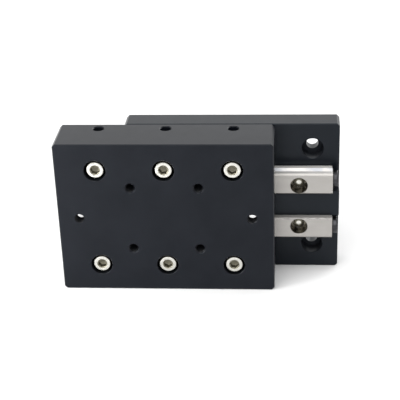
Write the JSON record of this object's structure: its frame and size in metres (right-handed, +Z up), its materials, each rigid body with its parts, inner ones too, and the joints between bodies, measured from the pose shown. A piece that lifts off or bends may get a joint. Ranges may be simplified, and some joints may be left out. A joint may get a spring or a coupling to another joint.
{
  "type": "crossed roller slide",
  "caption": "Short linear stage: a dark anodised table with cap screws runs on caged crossed rollers, between V-grooved steel rails, over a matching base block.",
  "frame": {"origin": "centre of the base's mounting face, which is the back of the base block", "axes": "+X along the travel, to the side where the base sticks out; +Y out of the base's mounting face, away from the table; +Z up across the slide's width, so the slide stands on its long side"},
  "size_m": [0.104, 0.028, 0.06],
  "materials": {
    "black_anodised_aluminium": "satin black anodised",
    "ground_rail_steel": "ground, bright in the groove",
    "polished_roller_steel": "lapped bearing steel",
    "cage_sheet": "plain sheet",
    "stainless_screw": "turned stainless",
    "bright_pin_steel": "ground pin",
    "dark_screw_steel": "black oxide",
    "block_steel": "milled"
  },
  "bodies": {
    "base": {"base_block": "black_anodised_aluminium", "base_rail_upper": "ground_rail_steel", "base_rail_lower": "ground_rail_steel", "stop_block": "block_steel", "stop_block_screw": "dark_screw_steel", "base_rail_screw_lower_1": "stainless_screw", "base_rail_screw_lower_2": "stainless_screw", "base_rail_screw_lower_3": "stainless_screw", "base_rail_screw_upper_1": "stainless_screw", "base_rail_screw_upper_2": "stainless_screw", "base_rail_screw_upper_3": "stainless_screw", "stop_screw_base_lower_left": "dark_screw_steel", "stop_screw_base_lower_right": "dark_screw_steel", "stop_screw_base_upper_left": "dark_screw_steel", "stop_screw_base_upper_right": "dark_screw_steel"},
    "table": {"table_block": "black_anodised_aluminium", "table_rail_upper": "ground_rail_steel", "table_rail_lower": "ground_rail_steel", "preload_screw_1": "dark_screw_steel", "preload_screw_2": "dark_screw_steel", "preload_screw_3": "dark_screw_steel", "stop_pin_left": "bright_pin_steel", "stop_pin_right": "bright_pin_steel", "stop_screw_table_lower_left": "dark_screw_steel", "stop_screw_table_lower_right": "dark_screw_steel", "stop_screw_table_upper_left": "dark_screw_steel", "stop_screw_table_upper_right": "dark_screw_steel", "table_rail_screw_lower_1": "stainless_screw", "table_rail_screw_lower_2": "stainless_screw", "table_rail_screw_lower_3": "stainless_screw", "table_rail_screw_upper_1": "stainless_screw", "table_rail_screw_upper_2": "stainless_screw", "table_rail_screw_upper_3": "stainless_screw"},
    "cage_upper": {"cage_upper": "cage_sheet"},
    "cage_lower": {"cage_lower": "cage_sheet"},
    "roller_upper_01": {"roller_upper_01": "polished_roller_steel"},
    "roller_upper_02": {"roller_upper_02": "polished_roller_steel"},
    "roller_upper_03": {"roller_upper_03": "polished_roller_steel"},
    "roller_upper_04": {"roller_upper_04": "polished_roller_steel"},
    "roller_upper_05": {"roller_upper_05": "polished_roller_steel"},
    "roller_upper_06": {"roller_upper_06": "polished_roller_steel"},
    "roller_upper_07": {"roller_upper_07": "polished_roller_steel"},
    "roller_upper_08": {"roller_upper_08": "polished_roller_steel"},
    "roller_upper_09": {"roller_upper_09": "polished_roller_steel"},
    "roller_upper_10": {"roller_upper_10": "polished_roller_steel"},
    "roller_lower_01": {"roller_lower_01": "polished_roller_steel"},
    "roller_lower_02": {"roller_lower_02": "polished_roller_steel"},
    "roller_lower_03": {"roller_lower_03": "polished_roller_steel"},
    "roller_lower_04": {"roller_lower_04": "polished_roller_steel"},
    "roller_lower_05": {"roller_lower_05": "polished_roller_steel"},
    "roller_lower_06": {"roller_lower_06": "polished_roller_steel"},
    "roller_lower_07": {"roller_lower_07": "polished_roller_steel"},
    "roller_lower_08": {"roller_lower_08": "polished_roller_steel"},
    "roller_lower_09": {"roller_lower_09": "polished_roller_steel"},
    "roller_lower_10": {"roller_lower_10": "polished_roller_steel"}
  },
  "joints": [
    {"name": "table_slide", "type": "slide", "parent": "base", "child": "table", "axis": [1, 0, 0], "range_m": [0, 0.048]},
    {"name": "cage_upper_slide", "type": "slide", "parent": "base", "child": "cage_upper", "axis": [1, 0, 0], "range_m": [0, 0.024]},
    {"name": "cage_lower_slide", "type": "slide", "parent": "base", "child": "cage_lower", "axis": [1, 0, 0], "range_m": [0, 0.024]},
    {"name": "roller_upper_01_spin", "type": "hinge", "parent": "cage_upper", "child": "roller_upper_01", "pos_m": [-0.0345, -0.0134, 0.014], "axis": [0, 0.7071, 0.7071], "range_deg": [0, 916.74]},
    {"name": "roller_upper_02_spin", "type": "hinge", "parent": "cage_upper", "child": "roller_upper_02", "pos_m": [-0.0295, -0.0134, 0.014], "axis": [0, 0.7071, -0.7071], "range_deg": [0, 916.74]},
    {"name": "roller_upper_03_spin", "type": "hinge", "parent": "cage_upper", "child": "roller_upper_03", "pos_m": [-0.0245, -0.0134, 0.014], "axis": [0, 0.7071, 0.7071], "range_deg": [0, 916.74]},
    {"name": "roller_upper_04_spin", "type": "hinge", "parent": "cage_upper", "child": "roller_upper_04", "pos_m": [-0.0195, -0.0134, 0.014], "axis": [0, 0.7071, -0.7071], "range_deg": [0, 916.74]},
    {"name": "roller_upper_05_spin", "type": "hinge", "parent": "cage_upper", "child": "roller_upper_05", "pos_m": [-0.0145, -0.0134, 0.014], "axis": [0, 0.7071, 0.7071], "range_deg": [0, 916.74]},
    {"name": "roller_upper_06_spin", "type": "hinge", "parent": "cage_upper", "child": "roller_upper_06", "pos_m": [-0.0095, -0.0134, 0.014], "axis": [0, 0.7071, -0.7071], "range_deg": [0, 916.74]},
    {"name": "roller_upper_07_spin", "type": "hinge", "parent": "cage_upper", "child": "roller_upper_07", "pos_m": [-0.0045, -0.0134, 0.014], "axis": [0, 0.7071, 0.7071], "range_deg": [0, 916.74]},
    {"name": "roller_upper_08_spin", "type": "hinge", "parent": "cage_upper", "child": "roller_upper_08", "pos_m": [0.0005, -0.0134, 0.014], "axis": [0, 0.7071, -0.7071], "range_deg": [0, 916.74]},
    {"name": "roller_upper_09_spin", "type": "hinge", "parent": "cage_upper", "child": "roller_upper_09", "pos_m": [0.0055, -0.0134, 0.014], "axis": [0, 0.7071, 0.7071], "range_deg": [0, 916.74]},
    {"name": "roller_upper_10_spin", "type": "hinge", "parent": "cage_upper", "child": "roller_upper_10", "pos_m": [0.0105, -0.0134, 0.014], "axis": [0, 0.7071, -0.7071], "range_deg": [0, 916.74]},
    {"name": "roller_lower_01_spin", "type": "hinge", "parent": "cage_lower", "child": "roller_lower_01", "pos_m": [-0.0345, -0.0134, -0.014], "axis": [0, -0.7071, -0.7071], "range_deg": [0, 916.74]},
    {"name": "roller_lower_02_spin", "type": "hinge", "parent": "cage_lower", "child": "roller_lower_02", "pos_m": [-0.0295, -0.0134, -0.014], "axis": [0, -0.7071, 0.7071], "range_deg": [0, 916.74]},
    {"name": "roller_lower_03_spin", "type": "hinge", "parent": "cage_lower", "child": "roller_lower_03", "pos_m": [-0.0245, -0.0134, -0.014], "axis": [0, -0.7071, -0.7071], "range_deg": [0, 916.74]},
    {"name": "roller_lower_04_spin", "type": "hinge", "parent": "cage_lower", "child": "roller_lower_04", "pos_m": [-0.0195, -0.0134, -0.014], "axis": [0, -0.7071, 0.7071], "range_deg": [0, 916.74]},
    {"name": "roller_lower_05_spin", "type": "hinge", "parent": "cage_lower", "child": "roller_lower_05", "pos_m": [-0.0145, -0.0134, -0.014], "axis": [0, -0.7071, -0.7071], "range_deg": [0, 916.74]},
    {"name": "roller_lower_06_spin", "type": "hinge", "parent": "cage_lower", "child": "roller_lower_06", "pos_m": [-0.0095, -0.0134, -0.014], "axis": [0, -0.7071, 0.7071], "range_deg": [0, 916.74]},
    {"name": "roller_lower_07_spin", "type": "hinge", "parent": "cage_lower", "child": "roller_lower_07", "pos_m": [-0.0045, -0.0134, -0.014], "axis": [0, -0.7071, -0.7071], "range_deg": [0, 916.74]},
    {"name": "roller_lower_08_spin", "type": "hinge", "parent": "cage_lower", "child": "roller_lower_08", "pos_m": [0.0005, -0.0134, -0.014], "axis": [0, -0.7071, 0.7071], "range_deg": [0, 916.74]},
    {"name": "roller_lower_09_spin", "type": "hinge", "parent": "cage_lower", "child": "roller_lower_09", "pos_m": [0.0055, -0.0134, -0.014], "axis": [0, -0.7071, -0.7071], "range_deg": [0, 916.74]},
    {"name": "roller_lower_10_spin", "type": "hinge", "parent": "cage_lower", "child": "roller_lower_10", "pos_m": [0.0105, -0.0134, -0.014], "axis": [0, -0.7071, 0.7071], "range_deg": [0, 916.74]}
  ],
  "couplings": [
    {"joint": "cage_upper_slide", "follows": "table_slide", "ratio": 0.5},
    {"joint": "cage_lower_slide", "follows": "table_slide", "ratio": 0.5},
    {"joint": "roller_upper_01_spin", "follows": "table_slide", "rad_per_m": 333.33},
    {"joint": "roller_upper_02_spin", "follows": "table_slide", "rad_per_m": 333.33},
    {"joint": "roller_upper_03_spin", "follows": "table_slide", "rad_per_m": 333.33},
    {"joint": "roller_upper_04_spin", "follows": "table_slide", "rad_per_m": 333.33},
    {"joint": "roller_upper_05_spin", "follows": "table_slide", "rad_per_m": 333.33},
    {"joint": "roller_upper_06_spin", "follows": "table_slide", "rad_per_m": 333.33},
    {"joint": "roller_upper_07_spin", "follows": "table_slide", "rad_per_m": 333.33},
    {"joint": "roller_upper_08_spin", "follows": "table_slide", "rad_per_m": 333.33},
    {"joint": "roller_upper_09_spin", "follows": "table_slide", "rad_per_m": 333.33},
    {"joint": "roller_upper_10_spin", "follows": "table_slide", "rad_per_m": 333.33},
    {"joint": "roller_lower_01_spin", "follows": "table_slide", "rad_per_m": 333.33},
    {"joint": "roller_lower_02_spin", "follows": "table_slide", "rad_per_m": 333.33},
    {"joint": "roller_lower_03_spin", "follows": "table_slide", "rad_per_m": 333.33},
    {"joint": "roller_lower_04_spin", "follows": "table_slide", "rad_per_m": 333.33},
    {"joint": "roller_lower_05_spin", "follows": "table_slide", "rad_per_m": 333.33},
    {"joint": "roller_lower_06_spin", "follows": "table_slide", "rad_per_m": 333.33},
    {"joint": "roller_lower_07_spin", "follows": "table_slide", "rad_per_m": 333.33},
    {"joint": "roller_lower_08_spin", "follows": "table_slide", "rad_per_m": 333.33},
    {"joint": "roller_lower_09_spin", "follows": "table_slide", "rad_per_m": 333.33},
    {"joint": "roller_lower_10_spin", "follows": "table_slide", "rad_per_m": 333.33}
  ]
}
